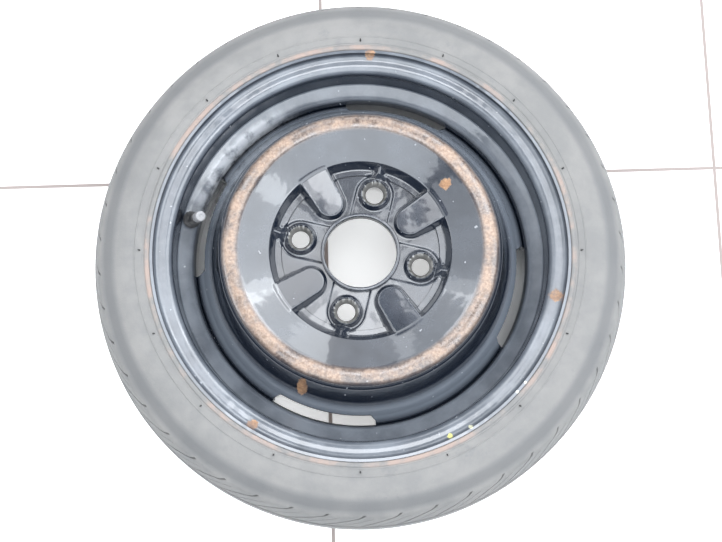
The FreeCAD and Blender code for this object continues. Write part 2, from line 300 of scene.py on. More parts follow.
def tube_faces(rings: int, sides: int) -> Faces:
    """Sides and ends of a closed tube.

    Args:
        rings: Number of its rings, from low to high.
        sides: Number of corners of each ring.

    Returns:
        Vertex numbers of each face.
    """
    top = (rings - 1) * sides
    ends: Faces = [tuple(range(sides - 1, -1, -1)), tuple(range(top, top + sides))]
    return grid_faces(rings, sides, False, True) + ends


def finish_mesh(mesh: bpy.types.Mesh, crease: float) -> None:
    """Smooth shading with sharp edges above the crease angle.

    Args:
        mesh: The mesh to shade.
        crease: Smallest sharp angle, in degrees.
    """
    mesh.shade_smooth()
    mesh.set_sharp_from_angle(angle=math.radians(crease))
    mesh.validate()


def make_object(name: str, points: np.ndarray, faces: Faces, crease: float = CREASE) -> Object:
    """A smooth-shaded mesh object in the row frame.

    Args:
        name: Name of the object and its mesh.
        points: Vertex places in millimetres.
        faces: Vertex numbers of each face.
        crease: Smallest sharp angle, in degrees.

    Returns:
        The object, linked to the scene.
    """
    mesh = bpy.data.meshes.new(name)
    mesh.from_pydata((points * MM).tolist(), [], faces)
    finish_mesh(mesh, crease)
    made = bpy.data.objects.new(name, mesh)
    bpy.context.scene.collection.objects.link(made)
    return made


def as_plain(obj: Object, crease: float = CREASE) -> None:
    """Turns the object's modifiers into plain mesh.

    Args:
        obj: Object with live modifiers.
        crease: Smallest sharp angle, in degrees.
    """
    depsgraph = bpy.context.evaluated_depsgraph_get()
    mesh = bpy.data.meshes.new_from_object(obj.evaluated_get(depsgraph))
    obj.modifiers.clear()
    obj.data = mesh
    finish_mesh(mesh, crease)


def carve(obj: Object, cutter: Object) -> None:
    """Cuts one closed mesh out of another.

    Args:
        obj: Object that loses material.
        cutter: Object that is used up.
    """
    cut = obj.modifiers.new("Cut", "BOOLEAN")
    cut.operation = "DIFFERENCE"
    cut.solver = "MANIFOLD"
    cut.object = cutter
    as_plain(obj, CUT_CREASE)
    bpy.data.objects.remove(cutter)


def paint_mesh(mesh: bpy.types.Mesh, finish: Material) -> None:
    """Gives a mesh one material."""
    mesh.materials.clear()
    mesh.materials.append(finish)


def dress(obj: Object, body: str, slot: Slot, *nodes: str) -> None:
    """Ties a finished piece to the frame.

    Args:
        obj: The piece.
        body: Body that it rides on.
        slot: Not used.
        *nodes: CAD nodes that it stands for.
    """
    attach(obj, body)
    if nodes:
        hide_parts(*nodes)


class Graph:
    """A node tree that is filled from top to bottom."""

    def __init__(self, tree: Tree) -> None:
        """Starts on a tree."""
        self.tree = tree

    def add(self, kind: str, values: dict | None = None, **settings: object) -> bpy.types.Node:
        """Adds one node.

        Args:
            kind: Node type.
            values: Socket name or number against a value, or a socket to link from.
            **settings: Attributes of the node.

        Returns:
            The node.
        """
        node = self.tree.nodes.new(kind)
        for name, value in settings.items():
            setattr(node, name, value)
        self.feed(node, values or {})
        return node

    def feed(self, node: bpy.types.Node, values: dict) -> None:
        """Sets or links a node's inputs.

        Args:
            node: The node.
            values: Socket name or number against a value, or a socket to link from.
        """
        for key, value in values.items():
            if isinstance(value, Socket):
                self.tree.links.new(value, node.inputs[key])
            else:
                node.inputs[key].default_value = value

    def math(self, operation: str, first: object, second: object, clamp: bool = False) -> Socket:
        """Output of one Math node."""
        values = {0: first, 1: second}
        return self.add("ShaderNodeMath", values, operation=operation, use_clamp=clamp).outputs[0]

    def times(self, first: object, second: object) -> Socket:
        """Product of two values."""
        return self.math("MULTIPLY", first, second)

    def plus(self, first: object, second: object) -> Socket:
        """Sum of two values."""
        return self.math("ADD", first, second)

    def rest(self, value: object) -> Socket:
        """What a share leaves of 1."""
        return self.math("SUBTRACT", 1.0, value)

    def ramp(self, value: object, low: float, high: float) -> Socket:
        """A smooth rise from 0 to 1 between two values."""
        values = {"Value": value, "From Min": low, "From Max": high}
        return self.add("ShaderNodeMapRange", values, interpolation_type="SMOOTHSTEP").outputs[0]

    def noise(self, place: Socket, scale: object, detail: float = 6.0, rough: float = 0.6) -> Socket:
        """Value of a noise texture."""
        values = {"Vector": place, "Scale": scale, "Detail": detail, "Roughness": rough}
        return self.add("ShaderNodeTexNoise", values).outputs[0]

    def mix(self, factor: object, first: object, second: object, blend: str = "MIX") -> Socket:
        """Mix of two colours."""
        values = {0: factor, 6: first, 7: second}
        return self.add("ShaderNodeMix", values, data_type="RGBA", blend_type=blend).outputs[2]

    def distance(self, first: Socket, second: object) -> Socket:
        """Distance between two places."""
        values = {0: first, 1: second}
        return self.add("ShaderNodeVectorMath", values, operation="DISTANCE").outputs["Value"]

    def flat(self, place: Socket) -> Socket:
        """The place moved along the wheel axis to height 0."""
        values = {0: place, 1: (1.0, 1.0, 0.0)}
        return self.add("ShaderNodeVectorMath", values, operation="MULTIPLY").outputs[0]

    def split(self, vector: Socket) -> dict[str, Socket]:
        """The three parts of a vector, under X, Y and Z."""
        return dict(self.add("ShaderNodeSeparateXYZ", {0: vector}).outputs.items())

    def group(self, tree: Tree, values: dict) -> dict[str, Socket]:
        """Outputs of a shared group with its inputs set."""
        return dict(self.add("ShaderNodeGroup", values, node_tree=tree).outputs.items())


class RingArray:
    """Geometry Nodes group that repeats a mesh round the Z axis and welds it into one."""

    def __init__(self) -> None:
        """Builds the node group."""
        self.tree = bpy.data.node_groups.new("Ring array", "GeometryNodeTree")
        self.inputs: dict[str, str] = {}
        sockets = {"Geometry": "Geometry", "Count": "Int", "Merge distance": "Float", "Material": "Material"}
        for name, kind in sockets.items():
            made = self.tree.interface.new_socket(name, in_out="INPUT", socket_type="NodeSocket" + kind)
            self.inputs[name] = made.identifier
        self.tree.interface.new_socket("Geometry", in_out="OUTPUT", socket_type="NodeSocketGeometry")
        self._wire()

    def _wire(self) -> None:
        """Places and links the nodes."""
        graph = Graph(self.tree)
        source = graph.add("NodeGroupInput").outputs
        points = graph.add("GeometryNodePoints", {"Count": source["Count"]}).outputs[0]
        index = graph.add("GeometryNodeInputIndex").outputs[0]
        angle = graph.times(graph.math("DIVIDE", index, source["Count"]), FULL_TURN)
        turn = graph.add("ShaderNodeCombineXYZ", {"Z": angle}).outputs[0]
        values = {"Points": points, "Instance": source["Geometry"], "Rotation": turn}
        copies = graph.add("GeometryNodeInstanceOnPoints", values).outputs[0]
        real = graph.add("GeometryNodeRealizeInstances", {0: copies}).outputs[0]
        values = {"Geometry": real, "Distance": source["Merge distance"]}
        weld = graph.add("GeometryNodeMergeByDistance", values).outputs[0]
        values = {"Geometry": weld, "Material": source["Material"]}
        paint = graph.add("GeometryNodeSetMaterial", values).outputs[0]
        graph.add("NodeGroupOutput", {"Geometry": paint})

    def apply(self, obj: Object, count: int, finish: Material, merge: float = 2e-6) -> None:
        """Repeats an object's mesh round the axis and keeps the result as plain mesh.

        Args:
            obj: Object that holds one copy.
            count: Number of copies.
            finish: Material of the result.
            merge: Distance under which vertices are welded, in metres.
        """
        ring = obj.modifiers.new("Ring", "NODES")
        ring.node_group = self.tree
        for name, value in (("Count", count), ("Merge distance", merge), ("Material", finish)):
            ring[self.inputs[name]] = value
        as_plain(obj)


@dataclass
class Effects:
    """Shader groups that more than one finish uses."""

    spot: Tree = field(init=False)
    ring: Tree = field(init=False)
    rust: Tree = field(init=False)
    dust: Tree = field(init=False)

    def __post_init__(self) -> None:
        """Builds every group."""
        self.spot = self._spot()
        self.ring = self._ring()
        self.rust = self._rust()
        self.dust = self._dust()

    @staticmethod
    def _start(
        name: str, inputs: dict[str, str], outputs: dict[str, str]
    ) -> tuple[Graph, dict, bpy.types.Node]:
        """An empty group with named sockets.

        Args:
            name: Name of the group.
            inputs: Input names against socket types.
            outputs: Output names against socket types.

        Returns:
            The graph, its input sockets and its output node.
        """
        tree = bpy.data.node_groups.new(name, "ShaderNodeTree")
        for side, sockets in (("INPUT", inputs), ("OUTPUT", outputs)):
            for socket, kind in sockets.items():
                tree.interface.new_socket(socket, in_out=side, socket_type="NodeSocket" + kind)
        graph = Graph(tree)
        source = graph.add("NodeGroupInput").outputs
        return graph, {key: source[key] for key in inputs}, graph.add("NodeGroupOutput")

    def _spot(self) -> Tree:
        """Ragged spot round a place, seen along the wheel axis."""
        sockets = {"Place": "Vector", "Centre": "Vector", "Radius": "Float"}
        graph, ends, out = self._start("Ragged spot", sockets, {"Mask": "Float"})
        away = graph.distance(graph.flat(ends["Place"]), ends["Centre"])
        wave = graph.times(graph.math("SUBTRACT", graph.noise(ends["Place"], 260.0), 0.5), 1.5)
        reach = graph.plus(graph.math("DIVIDE", away, ends["Radius"]), wave)
        graph.feed(out, {"Mask": graph.rest(graph.ramp(reach, 0.75, 1.05))})
        return graph.tree

    def _ring(self) -> Tree:
        """Soft band at a radius from the wheel axis."""
        sockets = {"Place": "Vector", "Radius": "Float", "Width": "Float"}
        graph, ends, out = self._start("Ring band", sockets, {"Mask": "Float"})
        radius = graph.distance(graph.flat(ends["Place"]), (0.0, 0.0, 0.0))
        gap = graph.math("ABSOLUTE", graph.math("SUBTRACT", radius, ends["Radius"]), 0.0)
        graph.feed(out, {"Mask": graph.rest(graph.ramp(graph.math("DIVIDE", gap, ends["Width"]), 0.3, 1.0))})
        return graph.tree

    def _rust(self) -> Tree:
        """Speckled rust over a colour."""
        sockets = {"Place": "Vector", "Colour": "Color", "Tone": "Color", "Mask": "Float"}
        graph, ends, out = self._start("Rust speckle", sockets, {"Colour": "Color", "Mask": "Float"})
        coarse = graph.ramp(graph.noise(ends["Place"], 42.0, 8.0, 0.7), 0.36, 0.62)
        fine = graph.ramp(graph.noise(ends["Place"], 380.0, 6.0, 0.7), 0.36, 0.66)
        patch = graph.plus(graph.times(coarse, 0.55), graph.times(fine, 0.16))
        gate = graph.math("MULTIPLY", ends["Mask"], graph.plus(patch, 0.20), True)
        shades = graph.mix(fine, (0.74, 0.58, 0.46, 1.0), (1.0, 0.92, 0.86, 1.0))
        tone = graph.mix(1.0, shades, ends["Tone"], "MULTIPLY")
        graph.feed(out, {"Colour": graph.mix(gate, ends["Colour"], tone), "Mask": gate})
        return graph.tree

    def _dust(self) -> Tree:
        """Cloudy dust over a colour and its roughness."""
        sockets = {"Place": "Vector", "Colour": "Color", "Roughness": "Float", "Dust": "Color"}
        sockets |= {"Amount": "Float", "Scale": "Float", "Evenness": "Float"}
        graph, ends, out = self._start("Dust veil", sockets, {"Colour": "Color", "Roughness": "Float"})
        cloud = graph.ramp(graph.noise(ends["Place"], ends["Scale"], 7.0, 0.62), 0.35, 0.68)
        speck = graph.ramp(graph.noise(ends["Place"], graph.times(ends["Scale"], 14.0), 4.0, 0.7), 0.60, 0.75)
        blend = graph.times(graph.plus(cloud, graph.times(speck, 0.5)), graph.rest(ends["Evenness"]))
        share = graph.math("MULTIPLY", graph.plus(ends["Evenness"], blend), ends["Amount"], True)
        rough = graph.plus(ends["Roughness"], graph.times(share, 0.45))
        graph.feed(out, {"Colour": graph.mix(share, ends["Colour"], ends["Dust"]), "Roughness": rough})
        return graph.tree


@dataclass
class Layers:
    """A material while its layers are laid on.

    Args:
        effects: Shared groups.
        graph: Graph of the material.
        shader: Its shader.
        place: Place in the row frame.
        colour: Colour so far.
        rough: Roughness so far.
        worn: Mask of worn places so far.
    """

    effects: Effects
    graph: Graph
    shader: bpy.types.Node
    place: Socket
    colour: object
    rough: object
    worn: object = 0.0

    def dust(self, amount: object, scale: float, tone: Colour, evenness: float = 0.0) -> None:
        """Lays cloudy dust on.

        Args:
            amount: Share of the dust.
            scale: Scale of its clouds.
            tone: Its colour.
            evenness: Share that has no clouds.
        """
        values = {"Place": self.place, "Colour": self.colour, "Roughness": self.rough, "Dust": tone}
        values |= {"Amount": amount, "Scale": scale, "Evenness": evenness}
        veil = self.graph.group(self.effects.dust, values)
        self.colour, self.rough = veil["Colour"], veil["Roughness"]

    def ring(self, radius: float, width: float) -> Socket:
        """Mask of a soft band round the wheel axis."""
        values = {"Place": self.place, "Radius": radius * MM, "Width": width * MM}
        return self.graph.group(self.effects.ring, values)["Mask"]

    def spot(self, centre: tuple[float, float], radius: float) -> Socket:
        """Mask of a ragged spot.

        Args:
            centre: Place across the wheel axis, in millimetres.
            radius: Its size, in millimetres.

        Returns:
            The mask.
        """
        values = {"Place": self.place, "Centre": metres((*centre, 0.0)), "Radius": radius * MM}
        return self.graph.group(self.effects.spot, values)["Mask"]

    def tint(self, mask: object, tone: Colour, share: float = 1.0) -> None:
        """Lays a colour on where a mask is."""
        self.colour = self.graph.mix(self.graph.times(mask, share), self.colour, tone)

    def rust(self, mask: Socket, tone: Colour) -> Socket:
        """Lays speckled rust on where a mask is.

        Args:
            mask: The mask.
            tone: Colour of the rust.

        Returns:
            Mask of the specks.
        """
        values = {"Place": self.place, "Colour": self.colour, "Tone": tone, "Mask": mask}
        specks = self.graph.group(self.effects.rust, values)
        self.colour = specks["Colour"]
        return specks["Mask"]

    def wear(self, mask: object) -> None:
        """Counts a mask's places as worn."""
        self.worn = self.graph.math("MAXIMUM", self.worn, mask)

    def roughen(self, value: object) -> None:
        """Makes the surface at least as rough as a value."""
        self.rough = self.graph.math("MAXIMUM", self.rough, value)

    def bump(self, height: Socket, strength: float, depth: float, under: Socket | None = None) -> Socket:
        """A bumpy normal.

        Args:
            height: Height of the bumps.
            strength: Strength of the bumps.
            depth: Their depth, in metres.
            under: Normal that they lie on.

        Returns:
            The normal.
        """
        values = {"Height": height, "Strength": strength, "Distance": depth}
        if under is not None:
            values["Normal"] = under
        return self.graph.add("ShaderNodeBump", values).outputs[0]

    def close(self, normal: Socket) -> None:
        """Feeds the shader."""
        values = {"Base Color": self.colour, "Roughness": self.rough, "Normal": normal}
        self.graph.feed(self.shader, values)


@dataclass(frozen=True)
class Spot:
    """A small mark on a painted face.

    Args:
        centre: Place across the wheel axis, in millimetres.
        radius: Size of the mark, in millimetres.
        colour: Colour of a paint mark, or None for rust.
    """

    centre: tuple[float, float]
    radius: float
    colour: Colour | None = None


@dataclass(frozen=True)
class Finish:
    """Base of every finish.

    Args:
        name: Name of the material.
        colour: Base colour.
        roughness: Base roughness.
    """

    name: str
    colour: Colour
    roughness: float

    def lay(self, layers: Layers) -> None:
        """Lays the finish on, in each kind of finish by its own method."""
        raise NotImplementedError

    def material(self, effects: Effects) -> Material:
        """The finish as a material.

        Args:
            effects: Shared groups.

        Returns:
            The material.
        """
        made = bpy.data.materials.new(self.name)
        made.use_nodes = True
        graph = Graph(made.node_tree)
        place = graph.add("ShaderNodeTexCoord").outputs["Object"]
        shader = made.node_tree.nodes["Principled BSDF"]
        self.lay(Layers(effects, graph, shader, place, self.colour, self.roughness))
        return made


@dataclass(frozen=True)
class PlainFinish(Finish):
    """Small parts: one colour, cloudy dust and a fine grain."""

    metallic: float = 0.0
    dust: float = 0.25

    def lay(self, layers: Layers) -> None:
        """Lays the finish on.

        Args:
            layers: Layers of the material.
        """
        layers.shader.inputs["Metallic"].default_value = self.metallic
        layers.dust(self.dust, 240.0, SMALL_DUST)
        layers.close(layers.bump(layers.graph.noise(layers.place, 1500.0), 0.2, 0.0002))


@dataclass(frozen=True)
class EnamelFinish(Finish):
    """Gloss black enamel with dust, chips, rust, marks, painted light on the disc's wall and a painted
    highlight with wear; lengths are in millimetres.
    """

    marks: tuple[Spot, ...] = ()
    rust_radius: float = 0.0
    rust_width: float = 9.5
    bare_places: tuple[Place, ...] = ()
    bare_radius: float = 11.6
    painted_highlight_radius: float = 0.0
    painted_highlight_centre: Place = (-120.0, 101.0, -30.0)
    painted_highlight_reach: tuple[float, float] = (25.0, 85.0)
    band_width: float = 9.0
    wall_width: float = 13.0
    haze: float = 0.14
    haze_from: float = 0.55
    haze_rise: float = 0.4
    skirt_radius: float = 0.0
    evenness: float = 0.0
    haze_tone: Colour = (0.135, 0.155, 0.19, 1.0)

    def _soil_and_wall_light(self, layers: Layers) -> None:
        """Dust on the faces that look up, a lighter band round the disc's outer wall, painted light on the side
        of that wall that faces +Y, and chips.
        """
        graph = layers.graph
        facing = graph.split(graph.add("ShaderNodeNewGeometry").outputs["Normal"])
        level = graph.ramp(facing["Z"], self.haze_from, self.haze_from + self.haze_rise)
        layers.dust(graph.times(level, self.haze), 22.0, self.haze_tone, self.evenness)
        if self.skirt_radius:
            layers.tint(layers.ring(self.skirt_radius, self.band_width), SKIRT_TONE, 0.6)
            # Painted light: the disc's wall is made lighter on its side that faces +Y, where light falls from
            # behind.
            wall = layers.ring(self.skirt_radius - self.band_width, self.wall_width)
            layers.tint(graph.times(wall, graph.ramp(facing["Y"], 0.0, 0.5)), WALL_LIGHT_TONE, 0.8)
        chips = graph.ramp(graph.noise(layers.place, 190.0, 3.0, 0.4), 0.735, 0.765)
        layers.tint(chips, CHIP_AND_HIGHLIGHT_TONE, 0.7)
        layers.wear(graph.times(chips, 0.5))

    def _mark(self, layers: Layers) -> None:
        """The rust ring, and the spots of rust and paint."""
        if self.rust_radius:
            layers.wear(layers.rust(layers.ring(self.rust_radius, self.rust_width), RUST_TONE))
        for mark in self.marks:
            mask = layers.spot(mark.centre, mark.radius)
            if mark.colour:
                layers.tint(mask, mark.colour)
            else:
                layers.rust(mask, SPOT_TONE)
            layers.wear(mask)

    def _shine(self, layers: Layers) -> None:
        """A painted highlight with wear near the valve, and the bare lug seats."""
        graph, place = layers.graph, layers.place
        # Painted highlight with wear: a lighter streaked band on the rim's ledge, strongest near the valve.
        if self.painted_highlight_radius:
            away = graph.distance(place, metres(self.painted_highlight_centre))
            near = graph.rest(graph.ramp(away, self.painted_highlight_reach[0] * MM, self.painted_highlight_reach[1] * MM))
            band = graph.times(layers.ring(self.painted_highlight_radius, self.band_width), near)
            layers.tint(graph.times(band, graph.ramp(graph.noise(place, 90.0), 0.3, 0.6)), CHIP_AND_HIGHLIGHT_TONE)
        metal: object = 0.0
        for seat in self.bare_places:
            away = graph.distance(place, metres(seat))
            metal = graph.math("MAXIMUM", metal, graph.math("LESS_THAN", away, self.bare_radius * MM))
        if self.bare_places:
            layers.tint(metal, SEAT_TONE)
            graph.feed(layers.shader, {"Metallic": graph.times(metal, 0.7)})
            layers.roughen(graph.times(metal, 0.42))

    def lay(self, layers: Layers) -> None:
        """Lays the finish on.

        Args:
            layers: Layers of the material.
        """
        graph, place = layers.graph, layers.place
        self._soil_and_wall_light(layers)
        self._mark(layers)
        self._shine(layers)
        layers.roughen(graph.times(layers.worn, 0.75))
        pits = graph.times(layers.worn, graph.noise(place, 900.0))
        skin = graph.plus(graph.times(graph.noise(place, 55.0, 2.0), 0.6), pits)
        wave = layers.bump(graph.noise(place, 15.0, 3.0), 0.2, 0.004)
        normal = layers.bump(skin, 0.35, 0.0006, wave)
        layers.close(normal)
        coat = graph.math("SUBTRACT", 1.0, layers.worn, True)
        values = {"Specular IOR Level": 0.5, "Coat Weight": coat, "Coat Roughness": 0.05}
        graph.feed(layers.shader, values | {"Coat Normal": normal})


@dataclass(frozen=True)
class RubberFinish(Finish):
    """Dusty old rubber with a rust stain next to the rim; lengths are in millimetres."""

    stain_radius: float = 197.0
    stain_width: float = 3.6
    shade_radius: float = 233.5
    shade_width: float = 9.0

    def lay(self, layers: Layers) -> None:
        """Lays the finish on.

        Args:
            layers: Layers of the material.
        """
        graph, place = layers.graph, layers.place
        layers.dust(0.7, 30.0, RUBBER_DUST)
        streaks = graph.ramp(graph.noise(place, 30.0), 0.42, 0.62)
        stain = graph.times(layers.ring(self.stain_radius, self.stain_width), streaks)
        layers.tint(stain, STAIN_TONE, 0.75)
        layers.tint(graph.ramp(graph.noise(place, 34.0, 8.0, 0.72), 0.58, 0.66), RUB_TONE, 0.25)
        layers.tint(layers.ring(self.shade_radius, self.shade_width), SHADE_TONE, 0.45)
        grain = graph.plus(graph.noise(place, 700.0), graph.times(graph.noise(place, 60.0), 0.8))
        layers.close(layers.bump(grain, 0.3, 0.0006))


@dataclass
class Tyre:
    """The tyre, with its moulded rings, tread slots and vent hairs.

    The tuples of corners hold distances outwards and up, and bends. The sidewall's start from the
    rim's lip, the shoulder's from the tread's edge, and the liners' from the tread's middle and the
    rim's lip; the heights start from the tyre's side.
    """

    sizes: WheelSizes
    sidewall: tuple[Corner, ...] = (
        (0.3, 0.0, 1.5), (4.4, 0.0, 0.9), (5.2, -1.0, 0.6), (6.4, -1.0, 0.6), (7.2, -0.3, 0.6),
        (12.6, -0.1, 0.4), (13.0, 0.3, 0.3), (13.8, 0.3, 0.3), (14.2, -0.2, 0.4), (24.0, -0.6, 24.0),
    )
    shoulder: tuple[Corner, ...] = ((-13.0, -5.0, 9.0), (-6.0, -10.9, 5.0), (0.0, -14.5, 7.0))
    tread_liner: tuple[Corner, ...] = ((-13.0, -39.5, 5.0), (-20.5, -22.5, 5.0), (-25.3, -8.0, 8.0))
    wall_liner: tuple[Corner, ...] = ((8.3, -8.0, 6.0), (-4.2, -19.35, 4.0))
    wall: float = 13.0
    bead_drop: float = 11.35
    edge_fall: float = 7.5
    crown_start: float = 39.5
    tread_fall: float = 13.5
    pitches: int = 46
    phases: tuple[float, ...] = (
        0.0, 0.13, 0.256, 0.268, 0.332, 0.344, 0.47, 0.60, 0.726, 0.736, 0.764, 0.774, 0.89, 1.0,
    )
    slot_phase: tuple[float, float] = (0.263, 0.337)
    slot_reach: tuple[float, float] = (13.5, 32.0)
    slot_depth: float = 3.2
    sipe_phase: tuple[float, float] = (0.731, 0.769)
    sipe_reach: tuple[float, float] = (18.0, 37.0)
    sipe_depth: float = 1.2
    slant: float = 60.0
    slant_reach: float = 33.0
    groove_place: float = 17.0
    groove_width: float = 6.0
    groove_depth: float = 5.0
    groove_lean: float = 0.5
    hair_count: int = 16
    hair_radius: float = 203.0
    hair_sides: int = 6

    def outside(self) -> list[Corner]:
        """Corners of the outside from the street-side toe to the crown of the tread."""
        seat, lip, half = self.sizes.seat_radius, self.sizes.lip_radius, self.sizes.tyre_half
        face = half - self.bead_drop
        bead = [(seat - 1.3, face - 18.7, 0.5), (seat + 0.3, face, 6.3), (lip + 0.3, face, 9.3)]
        edge = placed(self.shoulder, self.sizes.tyre_radius - self.edge_fall, half)
        crown = (self.sizes.tyre_radius, half - self.crown_start, 55.0)
        return [*bead, *placed(self.sidewall, lip, half), *edge, crown]

    def liner(self) -> list[Corner]:
        """Corners of the inside from the crown of the tread to the street-side toe."""
        half = self.sizes.tyre_half
        tread = placed(self.tread_liner, self.sizes.tyre_radius, half)
        return tread + placed(self.wall_liner, self.sizes.lip_radius, half)

    def grooved(self, path: np.ndarray) -> np.ndarray:
        """The outside with a groove round the tread.

        Args:
            path: Outside from the toe to the middle of the tread.

        Returns:
            The outside with the groove's four corners in it.
        """
        top, margin, crown, shoulder = self.sizes.tyre_radius, 0.3, 7.0, 20.0
        high, low = self.groove_place + self.groove_width / 2, self.groove_place - self.groove_width / 2
        tread = path[path[:, 0] > top - crown][::-1]
        upper, lower = np.interp([high, low], tread[:, 1], tread[:, 0])
        corners = np.array([
            (upper, high),
            (upper - self.groove_depth, high - self.groove_lean),
            (lower - self.groove_depth, low + self.groove_lean),
            (lower, low),
        ])
        inner = path[:, 0] < top - shoulder
        before = path[(path[:, 1] > high + margin) | inner]
        after = path[(path[:, 1] < low - margin) & ~inner]
        return np.concatenate([before, corners, after])

    def profile(self) -> np.ndarray:
        """Closed loop of the section, with heights from the mid-plane."""
        top = self.sizes.tyre_radius
        outer = smooth_path(self.outside() + [(top, 0.0, 1.0)], run=5.6, turn=27.0)
        outer = self.grooved(outer)[:-1]
        lining = [(top - self.wall, 0.0, 1.0), *self.liner(), self.outside()[0]]
        inner = smooth_path(lining, run=24.0, turn=30.0)[1:-1]
        mirror = np.array([1.0, -1.0])
        return np.concatenate([outer, outer[::-1] * mirror, inner[::-1] * mirror, inner])

    def tread_depth(self, loop: np.ndarray, phase: np.ndarray) -> np.ndarray:
        """Depth of slots and sipes at each profile point and place in the pitch.

        Args:
            loop: Profile with heights from the mid-plane.
            phase: Place in the pitch, from 0 to 1.

        Returns:
            Depth for each profile point and phase.
        """
        outer = loop[:, 0] > self.sizes.tyre_radius - self.tread_fall
        inset = self.sizes.tyre_half - np.abs(loop[:, 1])
        depth = np.zeros((len(loop), len(phase)))
        for reach, span, cut in (
            (self.slot_reach, self.slot_phase, self.slot_depth),
            (self.sipe_reach, self.sipe_phase, self.sipe_depth),
        ):
            window = outer & (inset > reach[0]) & (inset < reach[1])
            depth += window[:, None] * ((phase > span[0]) & (phase < span[1])) * cut
        return depth

    def pitch(self) -> Object:
        """One pitch of the tyre, from one side to the next."""
        loop = self.profile()
        phase = np.array(self.phases)
        sunk = self.tread_depth(loop, phase)
        run = np.roll(loop, -1, axis=0) - np.roll(loop, 1, axis=0)
        run /= np.linalg.norm(run, axis=1)[:, None]
        inward = np.stack([-run[:, 1], run[:, 0]], axis=1)
        guide = np.stack([-np.ones(len(loop)), -np.sign(loop[:, 1]) * 0.2], axis=1)
        inward *= np.sign(np.sum(inward * guide, axis=1))[:, None]
        radius = loop[:, :1] + inward[:, :1] * sunk
        height = loop[:, 1:] + inward[:, 1:] * sunk + self.sizes.mid
        start = self.sizes.tyre_half - self.crown_start
        reach = np.clip(np.abs(loop[:, 1]) - start, 0.0, self.slant_reach)
        lean = reach * math.tan(math.radians(self.slant)) / self.sizes.tyre_radius * np.sign(loop[:, 1])
        turn = phase[None, :] * FULL_TURN / self.pitches + lean[:, None]
        faces = grid_faces(len(loop), len(phase), True, False)
        return make_object("tyre_look", revolve(radius, height, turn), faces)

    def hair(self) -> Object:
        """One short vent hair on the sidewall."""
        foot = Vector((self.hair_radius, 0.0, self.sizes.mid + self.sizes.tyre_half - 1.0))
        steps = ((0.0, 0.9), (2.6, 0.72), (4.4, 0.45))
        points: list[Place] = []
        for along, girth in steps:
            middle = foot + Vector((0.35 * along, 0.0, 0.8 * along))
            points += circle(tuple(middle), girth, self.hair_sides)
        return make_object("vent_hairs", np.array(points), tube_faces(len(steps), self.hair_sides))

    def build(self, ring: RingArray, rubber: Material, dark: Material) -> None:
        """Makes the tyre and its hairs.

        Args:
            ring: Group that repeats round the axis.
            rubber: Finish of the tyre.
            dark: Finish of the hairs.
        """
        tyre = self.pitch()
        ring.apply(tyre, self.pitches, rubber)
        dress(tyre, "wheel", Slot.TYRE, "tyre")
        hairs = self.hair()
        ring.apply(hairs, self.hair_count, dark)
        dress(hairs, "wheel", Slot.TYRE)
        log.info("tyre: %d pitches, %d hairs, %d faces", self.pitches, self.hair_count, len(tyre.data.polygons))


@dataclass
class Rim:
    """The rolled hoop."""

    sizes: WheelSizes
    columns: int = 400
    curl: float = 10.0

    def path(self) -> list[Corner]:
        """Corners of the tyre side, from the street-side lip to the back lip."""
        lip, seat, half = self.sizes.lip_radius, self.sizes.seat_radius, self.sizes.lip_half - self.curl
        ledge, well = self.sizes.ledge_top, self.sizes.well_radius + self.sizes.rim_sheet
        corners = (
            (lip, half + self.curl, 0.0),
            (lip, half, 9.0),
            (seat, half, 6.0),
            (ledge, half - 26.0, 5.5),
            (ledge - 14.0, half - 32.5, 5.5),
            (well, 6.0, 5.5),
            (well, -18.0, 8.0),
            (seat - 1.8, 21.0 - half, 5.5),
            (seat, -half, 6.0),
            (lip, -half, 9.0),
            (lip, -half - self.curl, 0.0),
        )
        return placed(corners, 0.0, self.sizes.mid)

    def build(self, paint: Material, valve: "Valve") -> None:
        """Makes the hoop with its valve hole.

        Args:
            paint: Finish of the hoop.
            valve: Valve whose hole it has.
        """
        skin = smooth_path(self.path(), run=5.0, turn=8.0)
        loop = np.concatenate([skin, offset_path(skin, -self.sizes.rim_sheet)[::-1]])
        points = revolve(loop[:, :1], loop[:, 1:], full_turn(self.columns))
        rim = make_object("rim_look", points, flipped(grid_faces(len(loop), self.columns, True, True)))
        carve(rim, valve.hole_cutter())
        paint_mesh(rim.data, paint)
        dress(rim, "wheel", Slot.PAINT, "rim")
        log.info("rim: %d faces", len(rim.data.polygons))


@dataclass(frozen=True)
class Tongue:
    """A drafted tongue that runs inwards from the recess edge.

    Args:
        half: Half of its width.
        draft: Slope of its sides, in degrees.
        flare: Growth of the half width along it.
    """

    half: float
    draft: float
    flare: float


